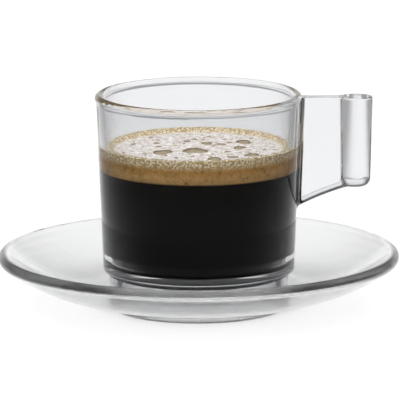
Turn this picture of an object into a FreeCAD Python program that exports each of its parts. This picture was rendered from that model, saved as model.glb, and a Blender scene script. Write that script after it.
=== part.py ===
"""Glass espresso cup with a moulded T handle, its glass saucer, and a poured espresso with crema.

Millimetres, +Z up. The origin is on the table, under the middle of the saucer's foot ring.
The handle points along +X. Every round piece is a section turned about the Z axis.
"""
import FreeCAD
import Part
import math
import os

# Saucer
SAUCER_D = 120.0          # over the rim
SAUCER_H = 16.8           # table to the top of the rim
SAUCER_RIM_T = 3.6        # full-round edge
SAUCER_GLASS_T = 3.0      # under the well
FOOT_RING_IN = 0.3        # the ring stands this far inside the cup's foot, at the table
FOOT_RING_H = 2.4         # table to the underside of the well
FOOT_RING_W = 3.2         # across the ring
FOOT_RING_DRAFT = 0.5     # how much wider the ring is at its root, on each side
FOOT_RING_EDGE = 0.6      # rounded edges of the ring
WELL_CLEAR = 1.0          # flat well beyond the cup's foot

# Cup
CUP_H = 59.1              # from its foot to the rim
RIM_D = 61.8              # over the bead
WALL_T = 2.5
BEAD_OUT = 0.3            # how far the full-round lip stands out from the wall
BEAD_HOLLOW_R = 2.5       # hollow round that leads from the lip into the wall
LIP_TRIM = 0.02           # the drinking space trims the lip's inner side by this
WALL_DRAFT = 0.038        # radius lost for each millimetre of height
HEEL_Z = 5.6              # from the foot to the heel's underside
HEEL_R = 0.9              # rounding under the wall
STACK_FOOT_IN = 1.52      # the stacking foot is set in from the wall by this, at its root
STACK_FOOT_DRAFT = 0.55   # narrower at the bottom by this, on the radius
STACK_FOOT_W = 3.4
STACK_FOOT_EDGE = 0.8
RECESS_CROWN = 0.6        # the recess under the base is this much deeper in the middle
RECESS_DROP = 0.8         # from the heel's underside down to the recess's ceiling
BASE_T = 2.9              # between that ceiling and the floor
FLOOR_CORNER_R = 2.2      # inside corner between wall and floor

# Handle: a flat web with a solid rod on its end
HANDLE_TOP_DROP = 1.1     # below the rim
ROD_REACH = 16.1          # from the bead to the rod's axis
ROD_TOP_D = 9.9
ROD_TAPER = 0.7           # slimmer at the bottom by this, all on the side away from the cup
ROD_H = 27.1
WEB_T = 5.3
WEB_DROP = 6.2            # how much lower the web is at the cup than at the rod
SWEEP_END = 0.9           # the web's underside is level from this far short of the rod's axis
SWEEP_END_R = 6.0         # round between the level part and the sweep down to the cup
SWEEP_SLOPE = 16.0        # degrees at the upper end of the sweep
ROD_FILLET_R = 1.5        # between the web and the rod
WALL_FILLET_R = 2.0       # between the web and the cup
UNDER_ROUND = 0.45        # rounding all round the lower edge, as a share of the web's thickness
HANDLE_TOP_R = 0.45       # rounding all round the upper edge

# Espresso
COFFEE_H = 28.6           # above the cup's floor
CREMA_T = 5.8             # at the side of the glass, below the ring of bubbles
CREMA_DISH = 0.35         # the middle of the crema lies this much lower
COLLAR_H = 1.3            # ring of fine bubbles that climbs the glass
COLLAR_W = 1.8
COLLAR_BEND = (0.55, 0.22) # its face passes through this share of its width and height
CRATER_SLOPE = 0.42       # depth of a burst bubble's hollow over its radius

# Burst bubbles in the crema: place across and along, and the hollow's radius, as shares of the
# radius of the crema inside the ring of fine bubbles
CRATERS = (
    (-0.412, -0.257, 0.113),
    (-0.039, -0.148, 0.136),
    (0.097, 0.311, 0.066),
    (-0.132, 0.451, 0.047),
    (-0.494, 0.327, 0.035),
    (0.265, 0.253, 0.051),
    (0.533, 0.385, 0.093),
    (0.475, 0.023, 0.074),
    (0.603, -0.459, 0.082),
    (0.385, -0.591, 0.062),
    (0.179, -0.692, 0.086),
    (0.335, -0.218, 0.035),
)

# Modelling allowances
PAST = 1.0                # cutting shapes reach this far past what they cut
NEAR = 0.02               # points this close to a surface count as on it

WELL_Z = FOOT_RING_H + SAUCER_GLASS_T
LIP_R = (WALL_T + BEAD_OUT + LIP_TRIM) / 2
LIP_CENTRE_R = RIM_D / 2 - LIP_R
LIP_Z = WELL_Z + CUP_H - LIP_R
WALL_TOP_R = RIM_D / 2 - BEAD_OUT
HEEL_UNDER_Z = WELL_Z + HEEL_Z
STACK_FOOT_R = WALL_TOP_R - (LIP_Z - HEEL_UNDER_Z) * WALL_DRAFT - STACK_FOOT_IN
WELL_R = STACK_FOOT_R + WELL_CLEAR
HANDLE_TOP_Z = WELL_Z + CUP_H - HANDLE_TOP_DROP
HANDLE_UNDER_R = WEB_T * UNDER_ROUND
ROD_X = RIM_D / 2 + ROD_REACH
ROD_BOTTOM_Z = HANDLE_TOP_Z - ROD_H
CEILING_Z = HEEL_UNDER_Z - RECESS_DROP
FLOOR_Z = CEILING_Z + BASE_T
COFFEE_TOP_Z = FLOOR_Z + COFFEE_H
CREMA_TOP_Z = COFFEE_TOP_Z + CREMA_T


def wall_r(z):
    """Outside radius of the tapered wall at a height."""
    return WALL_TOP_R - (LIP_Z - z) * WALL_DRAFT


def inner_r(z):
    """Inside radius of the cup: the wall keeps its thickness."""
    return wall_r(z) - WALL_T


def at(r, z):
    return FreeCAD.Vector(r, 0, z)


def on_circle(centre, radius, degrees):
    angle = math.radians(degrees)
    return at(centre[0] + radius * math.cos(angle), centre[1] + radius * math.sin(angle))


def line(a, b):
    return Part.LineSegment(a, b).toShape()


def arc(a, middle, b):
    return Part.Arc(a, middle, b).toShape()


def dome(edge_r, edge_z, crown_z):
    """A shallow arc from the axis out to a rim, with its centre on the axis."""
    rise = crown_z - edge_z
    radius = (edge_r**2 + rise**2) / (2 * rise)
    half = math.asin(edge_r / radius) / 2
    middle = at(abs(radius * math.sin(half)), crown_z - radius * (1 - math.cos(half)))
    return arc(at(0, crown_z), middle, at(edge_r, edge_z))


def corner(before, tip, after, radius):
    """The two tangent points and the arc that round a corner of a section."""
    u = (before - tip).normalize()
    v = (after - tip).normalize()
    half = u.getAngle(v) / 2
    reach = radius / math.tan(half)
    bisector = (u + v).normalize()
    centre = tip + bisector * (radius / math.sin(half))
    first = tip + u * reach
    last = tip + v * reach
    return first, last, arc(first, centre - bisector * radius, last)


def rounded_path(points, radii):
    """Edges through the points, with a round of its own at each inner point that has a radius."""
    edges = []
    start = points[0]
    for i in range(1, len(points) - 1):
        if radii.get(i):
            first, last, bend = corner(points[i - 1], points[i], points[i + 1], radii[i])
            edges += [line(start, first), bend]
            start = last
        else:
            edges.append(line(start, points[i]))
            start = points[i]
    edges.append(line(start, points[-1]))
    return edges


def turned(edges):
    """The solid that a closed section sweeps about the Z axis."""
    face = Part.Face(Part.Wire(Part.__sortEdges__(edges)))
    return face.revolve(FreeCAD.Vector(0, 0, 0), FreeCAD.Vector(0, 0, 1), 360)


def make_saucer():
    """A shallow dish with a full-round edge, a flat well for the cup and a foot ring."""
    rim = SAUCER_RIM_T / 2
    rim_centre = (SAUCER_D / 2 - rim, SAUCER_H - rim)
    foot_out = STACK_FOOT_R - FOOT_RING_IN
    foot_in = foot_out - FOOT_RING_W

    # The upper arc leaves the flat well level and touches the rim's circle from outside it.
    across = rim_centre[0] - WELL_R
    up = rim_centre[1] - WELL_Z
    top_r = (across**2 + up**2 - rim**2) / (2 * (up + rim))
    top_centre = (WELL_R, WELL_Z + top_r)
    top_end = math.degrees(math.atan2(rim_centre[1] - top_centre[1], across))

    # The lower arc leaves the underside of the well level and holds the rim's circle inside it.
    across = rim_centre[0] - foot_in
    up = rim_centre[1] - FOOT_RING_H
    under_r = (across**2 + up**2 - rim**2) / (2 * (up - rim))
    under_centre = (foot_in, FOOT_RING_H + under_r)
    under_end = math.degrees(math.atan2(rim_centre[1] - under_centre[1], across))
    root = foot_out + FOOT_RING_DRAFT
    root_angle = -math.degrees(math.acos((root - foot_in) / under_r))

    root_point = on_circle(under_centre, under_r, root_angle)
    ring = [
        at(0, FOOT_RING_H),
        at(foot_in - FOOT_RING_DRAFT, FOOT_RING_H),
        at(foot_in, 0),
        at(foot_out, 0),
        root_point,
    ]
    edges = rounded_path(ring, {1: FOOT_RING_EDGE, 2: FOOT_RING_EDGE, 3: FOOT_RING_EDGE})
    under_stop = on_circle(under_centre, under_r, under_end)
    middle = on_circle(under_centre, under_r, (root_angle + under_end) / 2)
    edges.append(arc(root_point, middle, under_stop))
    top_stop = on_circle(top_centre, top_r, top_end)
    outermost = on_circle(rim_centre, rim, 0)
    edges.append(arc(under_stop, on_circle(rim_centre, rim, under_end / 2), outermost))
    edges.append(arc(outermost, on_circle(rim_centre, rim, top_end / 2 + 90), top_stop))
    middle = on_circle(top_centre, top_r, (top_end - 90) / 2)
    edges.append(arc(top_stop, middle, at(WELL_R, WELL_Z)))
    edges += [line(at(WELL_R, WELL_Z), at(0, WELL_Z)), line(at(0, WELL_Z), at(0, FOOT_RING_H))]
    return turned(edges)


def make_cup_body():
    """The cup's outside as a plain solid, up to the level of the handle's top."""
    foot_tip = STACK_FOOT_R - STACK_FOOT_DRAFT
    section = [
        at(0, WELL_Z),
        at(foot_tip, WELL_Z),
        at(STACK_FOOT_R, HEEL_UNDER_Z),
        at(wall_r(HEEL_UNDER_Z), HEEL_UNDER_Z),
        at(wall_r(HANDLE_TOP_Z), HANDLE_TOP_Z),
        at(0, HANDLE_TOP_Z),
    ]
    edges = rounded_path(section, {1: STACK_FOOT_EDGE, 3: HEEL_R})
    edges.append(line(section[-1], section[0]))
    return turned(edges)


def make_lip():
    """The full-round lip. Its outer side runs through a hollow round into the tapered wall."""
    along = at(WALL_DRAFT, 1).normalize()
    outward = at(1, -WALL_DRAFT).normalize()
    centre = at(LIP_CENTRE_R, LIP_Z)
    to_wall = (WALL_TOP_R - LIP_CENTRE_R) * outward.x
    reach = LIP_R + BEAD_HOLLOW_R
    drop = math.sqrt(reach**2 - (to_wall + BEAD_HOLLOW_R) ** 2)
    hollow = centre + outward * (to_wall + BEAD_HOLLOW_R) - along * drop
    bead_end = hollow - outward * BEAD_HOLLOW_R
    touch = centre + (hollow - centre) * (LIP_R / reach)
    bend = hollow + ((touch + bead_end) * 0.5 - hollow).normalize() * BEAD_HOLLOW_R
    lip_in = at(LIP_CENTRE_R - LIP_R, LIP_Z)
    edges = [
        arc(lip_in, at(LIP_CENTRE_R, LIP_Z + LIP_R), touch),
        arc(touch, bend, bead_end),
        line(bead_end, at(lip_in.x, bead_end.z)),
        line(at(lip_in.x, bead_end.z), lip_in),
    ]
    return turned(edges)


def cavity_edges(top_z):
    """The inside of the cup from its floor up to a height, as a section for turning."""
    section = [
        at(0, FLOOR_Z),
        at(inner_r(FLOOR_Z), FLOOR_Z),
        at(inner_r(top_z), top_z),
        at(0, top_z),
    ]
    return rounded_path(section, {1: FLOOR_CORNER_R}) + [line(section[-1], section[0])]


def make_cavity():
    """The drinking space. It reaches past the lip, whose inner side is in line with the wall."""
    return turned(cavity_edges(WELL_Z + CUP_H + PAST))


def make_recess():
    """The hollow under the base, inside the stacking foot, with a slightly domed ceiling."""
    ring_in = STACK_FOOT_R - STACK_FOOT_DRAFT - STACK_FOOT_W
    narrow = ring_in - STACK_FOOT_DRAFT
    edge_z = CEILING_Z - RECESS_CROWN
    below = WELL_Z - PAST
    edges = [
        line(at(0, below), at(ring_in, below)),
        line(at(ring_in, below), at(ring_in, WELL_Z)),
        line(at(ring_in, WELL_Z), at(narrow, edge_z)),
        dome(narrow, edge_z, CEILING_Z),
        line(at(0, CEILING_Z), at(0, below)),
    ]
    return turned(edges)


def handle_section(z):
    """Plan outline of the web and rod at a height, with hollow rounds where they meet."""
    half = WEB_T / 2
    slimmer = ROD_TAPER / 2 * (HANDLE_TOP_Z - z) / ROD_H
    rod_r = ROD_TOP_D / 2 - slimmer
    axis_x = ROD_X - slimmer
    root_x = wall_r(ROD_BOTTOM_Z - WEB_DROP) - WALL_T / 2
    start = axis_x - math.sqrt((rod_r + ROD_FILLET_R) ** 2 - (half + ROD_FILLET_R) ** 2)

    def p(x, y):
        return FreeCAD.Vector(x, y, z)

    def side(sign):
        centre = (start, sign * (half + ROD_FILLET_R))
        share = rod_r / (rod_r + ROD_FILLET_R)
        touch = (axis_x + (centre[0] - axis_x) * share, centre[1] * share)
        bearing = math.atan2(touch[1] - centre[1], touch[0] - centre[0])
        low = -sign * math.pi / 2
        turn = (bearing + low) / 2
        bend = (centre[0] + ROD_FILLET_R * math.cos(turn), centre[1] + ROD_FILLET_R * math.sin(turn))
        return touch, bend

    near, near_bend = side(-1)
    far, far_bend = side(1)
    edges = [
        line(p(root_x, -half), p(start, -half)),
        arc(p(start, -half), p(*near_bend), p(*near)),
        arc(p(*near), p(axis_x + rod_r, 0), p(*far)),
        arc(p(*far), p(*far_bend), p(start, half)),
        line(p(start, half), p(root_x, half)),
        line(p(root_x, half), p(root_x, -half)),
    ]
    return Part.Wire(edges)


def make_handle():
    """The T handle before it joins the cup: tapered rod, flat web, swept and rounded underside."""
    low_z = ROD_BOTTOM_Z - 2 * WEB_DROP
    blank = Part.makeLoft([handle_section(low_z), handle_section(HANDLE_TOP_Z)], True, True)

    # The finger space below is level under the rod, then a tight arc and a wide one lead to the cup.
    level = at(ROD_X - SWEEP_END, ROD_BOTTOM_Z)
    tight = level - at(0, SWEEP_END_R)
    tilt = on_circle((0, 0), 1, 90 + SWEEP_SLOPE)
    root_z = ROD_BOTTOM_Z - WEB_DROP
    to_root = at(wall_r(root_z), root_z) - tight
    sweep_r = (to_root - tilt * SWEEP_END_R).Length ** 2 / (2 * (SWEEP_END_R - to_root.dot(tilt)))
    wide = tight - tilt * (sweep_r - SWEEP_END_R)
    first_x = wall_r(root_z) - WALL_T / 2
    first_angle = math.degrees(math.acos((first_x - wide.x) / sweep_r))
    first = on_circle((wide.x, wide.z), sweep_r, first_angle)
    wide_middle = on_circle((wide.x, wide.z), sweep_r, (first_angle + 90 + SWEEP_SLOPE) / 2)
    tight_middle = on_circle((tight.x, tight.z), SWEEP_END_R, 90 + SWEEP_SLOPE / 2)
    meet = tight + tilt * SWEEP_END_R
    level_end = at(ROD_X + ROD_TOP_D, ROD_BOTTOM_Z)
    low_end = at(level_end.x, low_z - PAST)
    low_start = at(first.x, low_z - PAST)
    outline = [
        arc(first, wide_middle, meet),
        arc(meet, tight_middle, level),
        line(level, level_end),
        line(level_end, low_end),
        line(low_end, low_start),
        line(low_start, first),
    ]
    space = Part.Face(Part.Wire(outline))
    space.translate(FreeCAD.Vector(0, -ROD_TOP_D, 0))
    handle = blank.cut(space.extrude(FreeCAD.Vector(0, 2 * ROD_TOP_D, 0)))
    corner_of_root = FreeCAD.Vector(0, -ROD_TOP_D, low_z - PAST)
    root = Part.makeBox(first.x, 2 * ROD_TOP_D, HANDLE_TOP_Z - low_z + 2 * PAST, corner_of_root)
    handle = handle.cut(root).Solids[0]

    def free(edge):
        return edge.BoundBox.XMax > first.x + NEAR

    def is_lower(edge):
        box = edge.BoundBox
        across = abs(box.YMin + box.YMax) < NEAR
        return box.ZMax < ROD_BOTTOM_Z + NEAR and free(edge) and (not across or box.XMax > ROD_X)

    return handle.makeFillet(HANDLE_UNDER_R, [e for e in handle.Edges if is_lower(e)])


def joined_edges(solid):
    """The edges where the web meets the tapered wall."""
    found = []
    for edge in solid.Edges:
        on_wall = all(
            abs(math.hypot(q.x, q.y) - wall_r(q.z)) < NEAR and abs(q.y) < WEB_T / 2 + NEAR and q.x > 0
            for q in edge.discretize(7)
        )
        if on_wall and edge.BoundBox.ZMin < HANDLE_TOP_Z - NEAR:
            found.append(edge)
    return found


def upper_edges(solid):
    """The outline of the handle's flat top, outside the lip."""
    found = []
    for edge in solid.Edges:
        box = edge.BoundBox
        level = box.ZMin > HANDLE_TOP_Z - NEAR and box.ZMax < HANDLE_TOP_Z + NEAR
        if level and edge.Length > NEAR and box.XMax > RIM_D / 2 + BEAD_OUT:
            found.append(edge)
    return found


def make_cup():
    """One moulded piece: wall, lip, heel, stacking foot and handle."""
    half_turn = (FreeCAD.Vector(0, 0, 0), FreeCAD.Vector(0, 0, 1), 180)
    round_parts = [make_cup_body(), make_lip(), make_cavity(), make_recess()]
    for solid in round_parts:
        # The seam of each turned face lies opposite the handle.
        solid.rotate(*half_turn)
    body, lip, cavity, recess = round_parts
    body = body.fuse(make_handle()).removeSplitter().Solids[0]
    body = body.makeFillet(WALL_FILLET_R, joined_edges(body))
    body = body.fuse(lip).cut(cavity).cut(recess).removeSplitter().Solids[0]
    return body.makeFillet(HANDLE_TOP_R, upper_edges(body)).Solids[0]


def make_coffee():
    """The black espresso, from the cup's floor up to the crema."""
    return turned(cavity_edges(COFFEE_TOP_Z))


def make_crema():
    """The foam layer: dished top, a ring of fine bubbles up the glass, hollows of burst bubbles."""
    side_r = inner_r(COFFEE_TOP_Z)
    collar_z = CREMA_TOP_Z + COLLAR_H
    shelf_r = inner_r(CREMA_TOP_Z) - COLLAR_W
    middle_z = CREMA_TOP_Z - CREMA_DISH
    edges = [
        line(at(0, COFFEE_TOP_Z), at(side_r, COFFEE_TOP_Z)),
        line(at(side_r, COFFEE_TOP_Z), at(inner_r(collar_z), collar_z)),
        arc(
            at(inner_r(collar_z), collar_z),
            at(shelf_r + COLLAR_W * COLLAR_BEND[0], CREMA_TOP_Z + COLLAR_H * COLLAR_BEND[1]),
            at(shelf_r, CREMA_TOP_Z),
        ),
        dome(shelf_r, CREMA_TOP_Z, middle_z),
        line(at(0, middle_z), at(0, COFFEE_TOP_Z)),
    ]
    foam = turned(edges)
    for across, along, share in CRATERS:
        radius = share * shelf_r
        depth = radius * CRATER_SLOPE
        ball_r = (radius**2 + depth**2) / (2 * depth)
        surface = middle_z + CREMA_DISH * (across**2 + along**2)
        centre = FreeCAD.Vector(across * shelf_r, along * shelf_r, surface - depth + ball_r)
        foam = foam.cut(Part.makeSphere(ball_r, centre))
    return foam.Solids[0]


os.makedirs("parts", exist_ok=True)
pieces = {
    "saucer": make_saucer(),
    "cup": make_cup(),
    "coffee": make_coffee(),
    "crema": make_crema(),
}
for name, solid in pieces.items():
    solid.exportStep(f"parts/{name}.step")
    box = solid.BoundBox
    print(name, solid.isValid(), len(solid.Faces), "volume %.0f mm3" % solid.Volume,
          "z %.2f to %.2f" % (box.ZMin, box.ZMax))
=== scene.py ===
"""Looks of the espresso cup and saucer: glass, coffee, crema with its bubbles, floor, light, camera.

Lengths are in metres, in the part's own frame. The handle points along +X and the camera looks
along +Y. The cup and saucer are the CAD nodes; the coffee and the crema are replaced by meshes.
"""
import math
import random

import bmesh
import bpy
import numpy as np
from mathutils import Matrix, Vector, noise


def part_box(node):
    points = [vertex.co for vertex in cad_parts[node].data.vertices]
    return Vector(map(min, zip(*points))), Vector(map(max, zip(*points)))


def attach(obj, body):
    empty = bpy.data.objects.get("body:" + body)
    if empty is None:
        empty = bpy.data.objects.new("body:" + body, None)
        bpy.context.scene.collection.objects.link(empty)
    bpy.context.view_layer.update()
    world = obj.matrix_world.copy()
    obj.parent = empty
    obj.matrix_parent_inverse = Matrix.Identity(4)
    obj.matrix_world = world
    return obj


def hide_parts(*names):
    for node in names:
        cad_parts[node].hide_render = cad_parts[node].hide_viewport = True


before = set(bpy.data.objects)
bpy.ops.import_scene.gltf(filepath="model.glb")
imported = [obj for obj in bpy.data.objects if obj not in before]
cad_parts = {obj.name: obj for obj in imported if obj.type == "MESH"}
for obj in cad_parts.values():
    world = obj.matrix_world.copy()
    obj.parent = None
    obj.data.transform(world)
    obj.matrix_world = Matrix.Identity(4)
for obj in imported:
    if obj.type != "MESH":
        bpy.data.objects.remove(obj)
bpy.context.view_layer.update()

MM = 0.001
SEED = 7

# Glass: tint, height of the faint waves in its surface, and roughness where it is roughest.
# The saucer is the rougher one, which softens the facets of its rim.
CUP_GLASS = {"tint": (0.785, 0.79, 0.80), "wave": 0.00002, "roughest": 0.012}
SAUCER_GLASS = {"tint": (0.80, 0.805, 0.805), "wave": 0.00003, "roughest": 0.18}

# The coffee and the crema reach this far into the wall
INTO_GLASS = 0.06 * MM
# CAD vertices this close to a level count as on it
LEVEL_SLACK = 0.4 * MM

# Coffee mesh
COFFEE_CORNER = 2.2 * MM        # rounded lower corner, like the glass around it
COFFEE_SEGMENTS = 256
COFFEE_CORNER_RINGS = 13
COFFEE_SIDE_RINGS = 5

# Crema mesh
CREMA_SEGMENTS = 480
CREMA_RINGS = 120               # over the top
CREMA_SIDE_RINGS = 16
CREMA_CENTRE = 0.1 * MM         # radius of the smallest ring
CREMA_EDGE = 0.2 * MM           # the side ends this far below the top's lowest edge

# Crema surface: a dished middle inside a collar of fine bubbles that climbs the glass
COLLAR_RISE = 0.7 * MM          # highest point over the CAD crema
COLLAR_W = 2.4 * MM
COLLAR_H = 1.15 * MM
COLLAR_TILT = 0.25 * MM         # higher at the back and lower at the front by this
CLIMB_START = 0.5 * MM          # inside the collar's inner edge
CLIMB_END = 0.4 * MM            # inside the glass
DISH = 0.2 * MM
LUMP_HEIGHT = 0.09 * MM
LUMP_SCALE = 900
FINE_LUMP_SCALE = 2100
FINE_LUMP_SHARE = 0.6

# Large burst bubbles in the crema, in millimetres: place across and along, and radius
BIG_CRATERS = (
    (-10.6, -6.6, 2.9), (-1.0, -3.8, 3.5), (2.5, 8.0, 1.7), (-3.4, 11.6, 1.2),
    (-12.7, 8.4, 0.9), (6.8, 6.5, 1.3), (13.7, 9.9, 2.4), (12.2, 0.6, 1.9),
    (15.5, -11.8, 2.1), (9.9, -15.2, 1.6), (4.6, -17.8, 2.2), (8.6, -5.6, 0.9),
    (-1.3, 14.8, 1.0), (9.5, 9.3, 0.8), (-11.9, 2.9, 0.9), (-19.8, 6.7, 0.8),
)
# Small ones between them, also in millimetres
SMALL_CRATERS = 60
SMALL_CRATER_R = (0.25, 0.6)
SMALL_CRATER_REACH = 24.5       # furthest from the middle
SMALL_CRATER_GAP = 0.3          # to the next one's edge

# Shape of a crater, in shares of its radius
CRATER_LONG = 1.45              # length along Y over width
CRATER_DEPTH = 0.12
CRATER_LIP_H = 0.05
CRATER_LIP_AT = 1.1
CRATER_LIP_W = 0.14
# The hollows' colour follows this mask and is partly painted shade, darkest in a ring just inside the
# edge
CRATER_SHADE = (-0.06, 0.45)    # its colour starts and is full this far inside the edge
# Waves in its outline: how many, how high, and turned by this from one crater to the next
CRATER_WAVES = ((2, 0.10, 1.7), (3, 0.07, 2.9))

# Bubbles in the collar and over the top: radii in millimetres
COLLAR_BUBBLES = 900
COLLAR_BUBBLE_R = (0.14, 0.34)
COLLAR_BUBBLE_SPREAD = 0.55     # standard distance from the glass, in millimetres
COLLAR_BUBBLE_LIFT = (-0.3, 0.4)  # centre over the surface, in radii
TOP_BUBBLES = 500
TOP_BUBBLE_R = (0.1, 0.24)
TOP_BUBBLE_SINK = 0.2           # centre under the surface, in radii

# Floor
FLOOR_REACH = 6.0
FLOOR_Z = -0.0002

# Softbox over the cup: width, front and far edge, height, beam angle of its grid, and its power
# in two parts, one that casts shadows and one that doesn't
SOFTBOX_W = 0.26
SOFTBOX_FRONT = -0.20
SOFTBOX_BACK = 0.80
SOFTBOX_Z = 0.36
SOFTBOX_SPREAD = math.radians(30)
KEY_POWER = 0.18
FILL_POWER = 0.42

# Soft light in front
FRONT_AT = (-0.08, -0.80, 0.32)
FRONT_SIZE = 0.5
FRONT_POWER = 2.4

# Camera
CAMERA_AT = (0.00039, -1.5, 0.3247)
CAMERA_PITCH = math.radians(90 - 11.04)
CAMERA_ROLL = -0.0035
CAMERA_LENS = 459.9


def outer_radius(node, z):
    """Outside radius of a round CAD node at a height."""
    points = np.array([v.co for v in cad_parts[node].data.vertices])
    radii = np.hypot(points[:, 0], points[:, 1])
    return radii[np.abs(points[:, 2] - z) < LEVEL_SLACK].max()


# The drink's levels and radii, from the CAD pieces
coffee_low, coffee_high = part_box("coffee")
_, crema_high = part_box("crema")
coffee_r_top = outer_radius("coffee", coffee_high.z)
crema_r_top = outer_radius("crema", crema_high.z)
draft = (crema_r_top - coffee_r_top) / (crema_high.z - coffee_high.z)
collar_top = crema_high.z + COLLAR_RISE
dish_z = collar_top - COLLAR_H - COLLAR_TILT
shelf_r = crema_r_top - COLLAR_W


# Meshes

def smoothstep(value, low, high):
    """0 up to low, 1 from high on, and smooth in between."""
    t = np.clip((value - low) / (high - low), 0.0, 1.0)
    return t * t * (3 - 2 * t)


def new_mesh(name, points, faces, smooth=True):
    """A mesh object from arrays of points and faces."""
    mesh = bpy.data.meshes.new(name)
    mesh.from_pydata([tuple(p) for p in points], [], [tuple(int(i) for i in f) for f in faces])
    mesh.update()
    if smooth:
        mesh.shade_smooth()
    piece = bpy.data.objects.new(name, mesh)
    bpy.context.scene.collection.objects.link(piece)
    return piece


def ring(radius, z, segments):
    """Points of a level circle."""
    angles = np.linspace(0, 2 * np.pi, segments, endpoint=False)
    return np.column_stack((radius * np.cos(angles), radius * np.sin(angles), np.full(segments, z)))


def lathe(name, rings):
    """A closed round piece from a lowest centre point, rings of points and a highest centre point.

    The rings follow the outside upwards and in again, and all have points at the same angles.
    """
    here = np.arange(len(rings[1]))
    after = (here + 1) % len(here)
    starts = np.cumsum([0] + [len(points) for points in rings])
    faces = [(0, 1 + k, 1 + j) for j, k in zip(here, after)]
    for low, high in zip(starts[1:-3], starts[2:-2]):
        faces += [(low + j, low + k, high + k, high + j) for j, k in zip(here, after)]
    last = starts[-3]
    faces += [(last + j, last + k, starts[-2]) for j, k in zip(here, after)]
    return new_mesh(name, np.vstack(rings), faces)


# Shader nodes

def material(name):
    """A new node material, its Principled shader and its node tree."""
    made = bpy.data.materials.new(name)
    made.use_nodes = True
    tree = made.node_tree
    return made, tree.nodes["Principled BSDF"], tree


def add(tree, kind, **inputs):
    """Adds a shader node and sets its input sockets by name (underscores stand for spaces)."""
    node = tree.nodes.new(kind)
    for key, value in inputs.items():
        node.inputs[key.replace("_", " ")].default_value = value
    return node


def noise_node(tree, scale, detail, roughness=0.5):
    """The value of a noise over the object's own coordinates."""
    coordinates = add(tree, "ShaderNodeTexCoord")
    texture = add(tree, "ShaderNodeTexNoise", Scale=scale, Detail=detail, Roughness=roughness)
    tree.links.new(coordinates.outputs["Object"], texture.inputs["Vector"])
    return texture.outputs["Fac"]


def ramp(tree, source, stops):
    """A value turned into a colour."""
    node = tree.nodes.new("ShaderNodeValToRGB")
    elements = node.color_ramp.elements
    while len(elements) < len(stops):
        elements.new(0.5)
    for element, (position, colour) in zip(elements, stops):
        element.position = position
        element.color = (*colour, 1.0)
    tree.links.new(source, node.inputs["Fac"])
    return node.outputs["Color"]


def bump(tree, shader, source, distance):
    """A relief in the surface from a value."""
    node = add(tree, "ShaderNodeBump", Strength=1.0, Distance=distance)
    tree.links.new(source, node.inputs["Height"])
    tree.links.new(node.outputs["Normal"], shader.inputs["Normal"])


def maths(tree, operation, a, b):
    """The result of a Math node fed by two sockets."""
    node = add(tree, "ShaderNodeMath")
    node.operation = operation
    tree.links.new(a, node.inputs[0])
    tree.links.new(b, node.inputs[1])
    return node.outputs[0]


def ranged(tree, source, low, high, to_high=1.0, smooth=True):
    """A value mapped from one range to the range from 0 to to_high."""
    node = add(tree, "ShaderNodeMapRange", From_Min=low, From_Max=high, To_Min=0.0, To_Max=to_high)
    if smooth:
        node.interpolation_type = "SMOOTHSTEP"
    tree.links.new(source, node.inputs["Value"])
    return node.outputs["Result"]


def blend(tree, factor, first, second, mode="MIX"):
    """Two colours mixed, in full where there is no factor."""
    node = tree.nodes.new("ShaderNodeMix")
    node.data_type = "RGBA"
    node.blend_type = mode
    if factor is None:
        node.inputs["Factor"].default_value = 1.0
    else:
        tree.links.new(factor, node.inputs["Factor"])
    tree.links.new(first, node.inputs["A"])
    tree.links.new(second, node.inputs["B"])
    return node.outputs["Result"]


# Materials

def glass(name, tint, wave, roughest):
    """Clear pressed glass with faint waves in its surface and an uneven film on it."""
    made, shader, tree = material(name)
    shader.inputs["Base Color"].default_value = (*tint, 1.0)
    shader.inputs["Transmission Weight"].default_value = 1.0
    shader.inputs["IOR"].default_value = 1.5
    shader.inputs["Specular Tint"].default_value = (0.12, 0.12, 0.12, 1.0)
    bump(tree, shader, noise_node(tree, 90.0, detail=1.0), wave)
    film = noise_node(tree, 420.0, detail=2.0)
    tree.links.new(ranged(tree, film, 0.0, 1.0, roughest, smooth=False), shader.inputs["Roughness"])
    return made


def coffee_material():
    """Nearly black, with a slight haze."""
    made, shader, tree = material("coffee_black")
    shader.inputs["Roughness"].default_value = 0.35
    shader.inputs["Specular IOR Level"].default_value = 0.03
    haze = noise_node(tree, 60.0, detail=2.0)
    colour = ramp(tree, haze, ((0.3, (0.0014, 0.0012, 0.001)), (0.8, (0.003, 0.0024, 0.0019))))
    tree.links.new(colour, shader.inputs["Base Color"])
    return made


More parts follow.
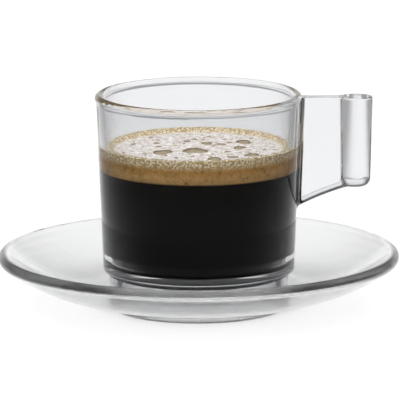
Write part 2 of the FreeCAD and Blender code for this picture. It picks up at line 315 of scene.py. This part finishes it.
def crema_material():
    """Cream top, olive-brown hollows with painted shade at their edges, a band of fine bubbles at the
    glass with painted highlights, tan side mottled below.
    """
    made, shader, tree = material("crema_foam")
    shader.inputs["Roughness"].default_value = 0.5
    shader.inputs["Specular IOR Level"].default_value = 0.25
    coordinates = add(tree, "ShaderNodeTexCoord").outputs["Object"]
    split = add(tree, "ShaderNodeSeparateXYZ")
    tree.links.new(coordinates, split.inputs["Vector"])
    flat = add(tree, "ShaderNodeCombineXYZ")
    tree.links.new(split.outputs["X"], flat.inputs["X"])
    tree.links.new(split.outputs["Y"], flat.inputs["Y"])
    reach = add(tree, "ShaderNodeVectorMath")
    reach.operation = "LENGTH"
    tree.links.new(flat.outputs["Vector"], reach.inputs[0])

    # Side, by height, with darker spots
    height = ranged(tree, split.outputs["Z"], coffee_high.z, collar_top, smooth=False)
    side = ramp(tree, height, (
        (0.0, (0.14, 0.075, 0.022)),
        (0.06, (0.44, 0.27, 0.11)),
        (0.25, (0.52, 0.32, 0.12)),
        (0.50, (0.46, 0.25, 0.072)),
        (0.72, (0.56, 0.38, 0.17)),
        (1.0, (0.72, 0.60, 0.38)),
    ))
    mottle = noise_node(tree, 420.0, detail=5.0, roughness=0.7)
    spots = ramp(tree, mottle, (
        (0.34, (0.46, 0.38, 0.28)),
        (0.43, (0.88, 0.84, 0.78)),
        (0.65, (1.14, 1.12, 1.09)),
    ))
    mottled = blend(tree, None, side, spots, "MULTIPLY")

    # Fine bubbles in a band along the glass, olive-tan with a painted highlight near white in each
    # bubble's middle
    cells = add(tree, "ShaderNodeTexVoronoi", Scale=1500.0)
    tree.links.new(coordinates, cells.inputs["Vector"])
    # Painted highlights: each bubble cell is near white in its middle
    froth_with_painted_highlights = ramp(tree, cells.outputs["Distance"], (
        (0.16, (1.0, 0.98, 0.90)),
        (0.40, (0.84, 0.71, 0.45)),
        (0.62, (0.50, 0.36, 0.17)),
    ))
    near_glass = ranged(tree, reach.outputs["Value"], shelf_r - 0.6 * MM, shelf_r + 0.5 * MM)
    high = ranged(tree, split.outputs["Z"], dish_z - 2.4 * MM, dish_z - 0.2 * MM, 0.9)
    band = maths(tree, "MULTIPLY", near_glass, high)

    # Top, with the hollows of burst bubbles: olive-brown inside, with painted shade as a darker ring
    # just inside each edge
    cream = noise_node(tree, 520.0, detail=5.0, roughness=0.75)
    top = ramp(tree, cream, (
        (0.33, (0.30, 0.22, 0.14)),
        (0.42, (0.66, 0.575, 0.51)),
        (0.51, (0.82, 0.765, 0.725)),
        (0.60, (1.0, 0.985, 0.965)),
    ))
    hollow = add(tree, "ShaderNodeAttribute")
    hollow.attribute_name = "hollow"
    # Painted shade: darkest just inside a hollow's edge, lighter towards its middle
    pit_with_painted_shade = ramp(tree, hollow.outputs["Fac"], (
        (0.1, (0.13, 0.092, 0.047)),
        (0.4, (0.25, 0.195, 0.11)),
        (1.0, (0.40, 0.33, 0.215)),
    ))
    pitted_with_painted_shade = blend(tree, ranged(tree, hollow.outputs["Fac"], 0.02, 0.12), top, pit_with_painted_shade)

    # The top's colours where the surface faces up, the side's elsewhere
    geometry = add(tree, "ShaderNodeNewGeometry")
    facing = add(tree, "ShaderNodeSeparateXYZ")
    tree.links.new(geometry.outputs["True Normal"], facing.inputs["Vector"])
    up = ranged(tree, facing.outputs["Z"], 0.05, 0.35)
    colour = blend(tree, band, blend(tree, up, mottled, pitted_with_painted_shade), froth_with_painted_highlights)
    tree.links.new(colour, shader.inputs["Base Color"])
    bump(tree, shader, maths(tree, "ADD", mottle, cells.outputs["Distance"]), 0.00018)
    return made


def bubble_material():
    """Pale half-clear bubbles."""
    made, shader, tree = material("crema_bubbles")
    shader.inputs["Roughness"].default_value = 0.12
    shader.inputs["Transmission Weight"].default_value = 0.35
    shader.inputs["IOR"].default_value = 1.33
    shades = noise_node(tree, 1500.0, detail=1.0)
    colour = ramp(tree, shades, ((0.35, (0.50, 0.43, 0.28)), (0.6, (0.86, 0.80, 0.64))))
    tree.links.new(colour, shader.inputs["Base Color"])
    return made


# The drink

def side_radius(z):
    """Radius of the drink at a height: the cup's inside, and a little into the glass."""
    return coffee_r_top + (z - coffee_high.z) * draft + INTO_GLASS


def make_coffee():
    """The coffee, with a rounded lower corner."""
    floor_z = coffee_low.z - INTO_GLASS
    corner_z = floor_z + COFFEE_CORNER
    corner_r = side_radius(floor_z) - COFFEE_CORNER
    rings = [np.array([(0.0, 0.0, floor_z)])]
    for turn in np.linspace(0, math.pi / 2, COFFEE_CORNER_RINGS):
        radius = corner_r + COFFEE_CORNER * math.sin(turn)
        rings.append(ring(radius, corner_z - COFFEE_CORNER * math.cos(turn), COFFEE_SEGMENTS))
    for z in np.linspace(corner_z, coffee_high.z, COFFEE_SIDE_RINGS)[1:]:
        rings.append(ring(side_radius(z), z, COFFEE_SEGMENTS))
    rings.append(np.array([(0.0, 0.0, coffee_high.z)]))
    piece = lathe("coffee_drink", rings)
    piece.data.materials.append(coffee_material())
    return piece


def scatter_craters(rng):
    """The large burst bubbles, and small ones between them: places and radii."""
    placed = list(BIG_CRATERS)
    while len(placed) < len(BIG_CRATERS) + SMALL_CRATERS:
        angle = rng.uniform(0, 2 * math.pi)
        reach = SMALL_CRATER_REACH * math.sqrt(rng.random())
        x, y, r = reach * math.cos(angle), reach * math.sin(angle), rng.uniform(*SMALL_CRATER_R)
        if all(math.hypot(x - a, y - b) > r + c + SMALL_CRATER_GAP for a, b, c in placed):
            placed.append((x, y, r))
    return np.array(placed) * MM


def crema_top(x, y, craters):
    """Height of the crema's upper side, and how far each point is inside a hollow (0 to 1)."""
    radius = np.hypot(x, y)
    z = dish_z - DISH * (1 - (radius / shelf_r) ** 2)
    climb = smoothstep(radius, shelf_r - CLIMB_START, crema_r_top - CLIMB_END)
    z = z + climb * (COLLAR_H + COLLAR_TILT * y / np.maximum(radius, MM))
    hollow = np.zeros_like(x)
    for k, (cx, cy, r) in enumerate(craters):
        across, along = x - cx, (y - cy) / CRATER_LONG
        around = np.arctan2(along, across)
        outline = 1.0
        for count, height, turn in CRATER_WAVES:
            outline = outline + height * np.sin(count * around + turn * k)
        d = np.hypot(across, along) / (r * outline)
        z = z - np.clip(1 - d ** 2, 0, 1) ** 0.5 * r * CRATER_DEPTH
        z = z + np.exp(-((d - CRATER_LIP_AT) / CRATER_LIP_W) ** 2) * r * CRATER_LIP_H
        hollow = np.maximum(hollow, smoothstep(1 - d, *CRATER_SHADE))
    return z, hollow


def make_crema(craters):
    """The foam: its side up from the coffee, then a fine grid over the top with hollows and lumps."""
    rings = [np.array([(0.0, 0.0, coffee_high.z)])]
    side_top = collar_top - 2 * COLLAR_TILT - CREMA_EDGE
    for z in np.linspace(coffee_high.z, side_top, CREMA_SIDE_RINGS):
        rings.append(ring(side_radius(z), z, CREMA_SEGMENTS))
    side_points = sum(len(points) for points in rings)
    flat = [ring(radius, 0.0, CREMA_SEGMENTS)
            for radius in np.linspace(crema_r_top + INTO_GLASS, CREMA_CENTRE, CREMA_RINGS)]
    top = np.vstack(flat + [np.zeros((1, 3))])
    heights, hollow = crema_top(top[:, 0], top[:, 1], craters)
    lumps = np.array([
        noise.noise(Vector((x, y, 0)) * LUMP_SCALE)
        + FINE_LUMP_SHARE * noise.noise(Vector((x, y, 1)) * FINE_LUMP_SCALE)
        for x, y, _ in top
    ])
    top[:, 2] = np.minimum(heights + lumps * LUMP_HEIGHT, collar_top)
    rings += np.split(top, CREMA_SEGMENTS * np.arange(1, CREMA_RINGS + 1))
    piece = lathe("crema_foam", rings)
    attribute = piece.data.attributes.new("hollow", "FLOAT", "POINT")
    values = np.concatenate((np.zeros(side_points), hollow))
    attribute.data.foreach_set("value", values.astype(np.float32))
    piece.data.materials.append(crema_material())
    return piece


def bubble_places(rng, craters):
    """Fine bubbles in the collar, and some over the top: (x, y, z, radius) of each."""

    def surface_z(x, y):
        return crema_top(np.array([x]), np.array([y]), craters)[0][0]

    places = []
    for _ in range(COLLAR_BUBBLES):
        angle = rng.uniform(0, 2 * math.pi)
        radius = rng.uniform(*COLLAR_BUBBLE_R) * MM
        reach = crema_r_top - radius - abs(rng.gauss(0, COLLAR_BUBBLE_SPREAD)) * MM
        x, y = reach * math.cos(angle), reach * math.sin(angle)
        lifted = surface_z(x, y) + radius * rng.uniform(*COLLAR_BUBBLE_LIFT)
        places.append((x, y, min(lifted, collar_top - radius), radius))
    for _ in range(TOP_BUBBLES):
        angle = rng.uniform(0, 2 * math.pi)
        reach = shelf_r * math.sqrt(rng.random())
        radius = rng.uniform(*TOP_BUBBLE_R) * MM
        x, y = reach * math.cos(angle), reach * math.sin(angle)
        places.append((x, y, surface_z(x, y) - radius * TOP_BUBBLE_SINK, radius))
    return places


def ball_template():
    """Points and faces of a small round ball."""
    shape = bmesh.new()
    bmesh.ops.create_icosphere(shape, subdivisions=1, radius=1.0)
    points = np.array([v.co for v in shape.verts])
    faces = np.array([[v.index for v in f.verts] for f in shape.faces])
    shape.free()
    return points, faces


def make_bubbles(places):
    """One joined mesh of balls."""
    points, faces = ball_template()
    all_points = np.vstack([points * r + (x, y, z) for x, y, z, r in places])
    all_faces = np.vstack([faces + len(points) * i for i in range(len(places))])
    piece = new_mesh("crema_bubbles", all_points, all_faces)
    piece.data.materials.append(bubble_material())
    return piece


# The studio

def make_floor():
    """A wide plain white floor."""
    corners = ((-1, -1), (1, -1), (1, 1), (-1, 1))
    points = [(x * FLOOR_REACH, y * FLOOR_REACH, FLOOR_Z) for x, y in corners]
    floor = new_mesh("floor", points, [(0, 1, 2, 3)], smooth=False)
    made, shader, _ = material("floor_white")
    shader.inputs["Base Color"].default_value = (0.9, 0.9, 0.9, 1.0)
    shader.inputs["Specular IOR Level"].default_value = 0.0
    shader.inputs["Roughness"].default_value = 1.0
    floor.data.materials.append(made)


def make_softbox(name, place, aim, width, length, power, spread=math.pi, casts_shadow=False):
    """A soft rectangular light at one place, aimed at another. It doesn't show in the glass."""
    light = bpy.data.lights.new(name, "AREA")
    light.shape = "RECTANGLE"
    light.size = width
    light.size_y = length
    light.spread = spread
    light.energy = power
    light.use_shadow = casts_shadow
    light.cycles.use_multiple_importance_sampling = False
    lamp = bpy.data.objects.new(name, light)
    lamp.visible_glossy = False
    lamp.visible_transmission = False
    lamp.location = place
    lamp.rotation_euler = (Vector(aim) - Vector(place)).to_track_quat("-Z", "Y").to_euler()
    bpy.context.scene.collection.objects.link(lamp)


def make_lights():
    """The softbox above, as a key light and a fill that casts no shadow, and one in front."""
    middle = (SOFTBOX_FRONT + SOFTBOX_BACK) / 2
    above, below = (0.0, middle, SOFTBOX_Z), (0.0, middle, 0.0)
    for name, power, casts_shadow in (("key", KEY_POWER, True), ("fill", FILL_POWER, False)):
        make_softbox(name, above, below, SOFTBOX_W, SOFTBOX_BACK - SOFTBOX_FRONT, power,
                     SOFTBOX_SPREAD, casts_shadow)
    make_softbox("front", FRONT_AT, (0.0, 0.0, crema_high.z), FRONT_SIZE, FRONT_SIZE, FRONT_POWER)


def make_world():
    """A dim studio with a bright ceiling and a low white backdrop behind the cup."""
    world = bpy.data.worlds.new("studio")
    bpy.context.scene.world = world
    world.use_nodes = True
    tree = world.node_tree
    background = tree.nodes["Background"]
    coordinates = add(tree, "ShaderNodeTexCoord")
    split = add(tree, "ShaderNodeSeparateXYZ")
    tree.links.new(coordinates.outputs["Generated"], split.inputs["Vector"])
    sky = ramp(tree, split.outputs["Z"], (
        (0.0, (0.26, 0.26, 0.27)),
        (0.25, (0.12, 0.12, 0.125)),
        (0.55, (0.12, 0.12, 0.125)),
        (0.85, (0.80, 0.80, 0.80)),
    ))
    backdrop = ramp(tree, split.outputs["Y"], ((0.80, (0.0, 0.0, 0.0)), (0.93, (0.8, 0.8, 0.8))))
    low = ramp(tree, split.outputs["Z"], ((0.2, (1.0, 1.0, 1.0)), (0.34, (0.0, 0.0, 0.0))))
    screen = blend(tree, None, backdrop, low, "MULTIPLY")
    tree.links.new(blend(tree, None, sky, screen, "ADD"), background.inputs["Color"])
    background.inputs["Strength"].default_value = 1.0
    world.cycles.sampling_method = "NONE"


def make_camera():
    """A long lens at the photograph's viewing angle."""
    camera = bpy.data.objects.new("camera", bpy.data.cameras.new("camera"))
    bpy.context.scene.collection.objects.link(camera)
    turn = Matrix.Rotation(CAMERA_PITCH, 4, "X") @ Matrix.Rotation(CAMERA_ROLL, 4, "Z")
    camera.matrix_world = Matrix.Translation(CAMERA_AT) @ turn
    camera.data.lens = CAMERA_LENS
    camera.data.sensor_width = 36.0
    camera.data.clip_start = 0.05
    camera.data.clip_end = 20.0
    bpy.context.scene.camera = camera


# The glass casts no shadow: light doesn't reach the floor through it here, so it would be black
for node, look in (("cup", glass("cup_glass", **CUP_GLASS)),
                   ("saucer", glass("saucer_glass", **SAUCER_GLASS))):
    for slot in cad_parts[node].material_slots:
        slot.material = look
    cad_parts[node].visible_shadow = False

drink = make_coffee()
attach(drink, "root")
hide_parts("coffee")
dice = random.Random(SEED)
burst = scatter_craters(dice)
foam = make_crema(burst)
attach(foam, "root")
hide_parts("crema")
bubbles = make_bubbles(bubble_places(dice, burst))
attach(bubbles, "root")

make_floor()
make_lights()
make_world()
make_camera()
bpy.context.scene.view_settings.view_transform = "Standard"
bpy.context.scene.cycles.max_bounces = 32
bpy.context.scene.cycles.transmission_bounces = 32
bpy.context.scene.cycles.glossy_bounces = 16
